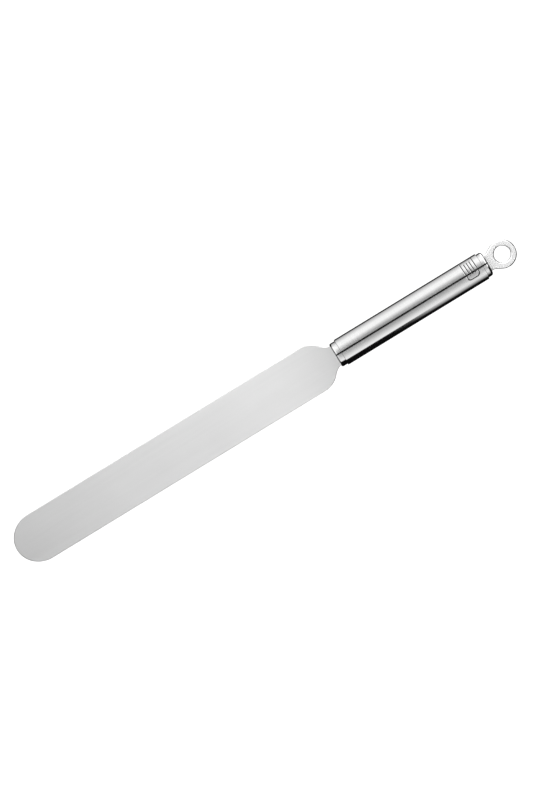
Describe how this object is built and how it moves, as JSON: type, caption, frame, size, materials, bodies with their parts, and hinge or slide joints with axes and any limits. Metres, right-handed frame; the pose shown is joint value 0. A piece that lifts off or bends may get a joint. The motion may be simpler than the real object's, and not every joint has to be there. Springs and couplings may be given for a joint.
{
  "type": "flexible palette knife",
  "caption": "Long flexible palette knife: a straight round-tipped spring-steel blade held in a closed round steel tube handle that ends in a flat hanging eye.",
  "frame": {"origin": "centre of the hanging hole, at the middle of the eye's thickness", "axes": "+X along the tool from the hanging hole to the blade's tip, +Z along the hanging hole, square to the blade's flat face, +Y across the blade"},
  "size_m": [0.3987, 0.034, 0.0198],
  "materials": {
    "blade_steel": "satin, ground along its length, with fine scratches from use",
    "handle_steel": "fine satin, turned round the tube, with an engraved mark",
    "cap_steel": "fine turned satin with polished rounded rims",
    "eye_steel": "tumbled satin with rounded, polished edges",
    "pin_steel": "plain ground dowel"
  },
  "bodies": {
    "handle": {"handle_tube": "handle_steel", "front_cap": "cap_steel", "blade_pins": "pin_steel", "rear_cap": "cap_steel", "eye_pin": "pin_steel", "hanging_eye": "eye_steel"},
    "blade": {"blade": "blade_steel"}
  },
  "joints": [
    {"name": "blade_flex", "type": "hinge", "parent": "handle", "child": "blade", "pos_m": [0.17195, 0, 0], "axis": [0, 1, 0], "range_deg": [-25, 25], "stiffness_Nm_per_rad": 5, "deforming": ["blade"]}
  ]
}
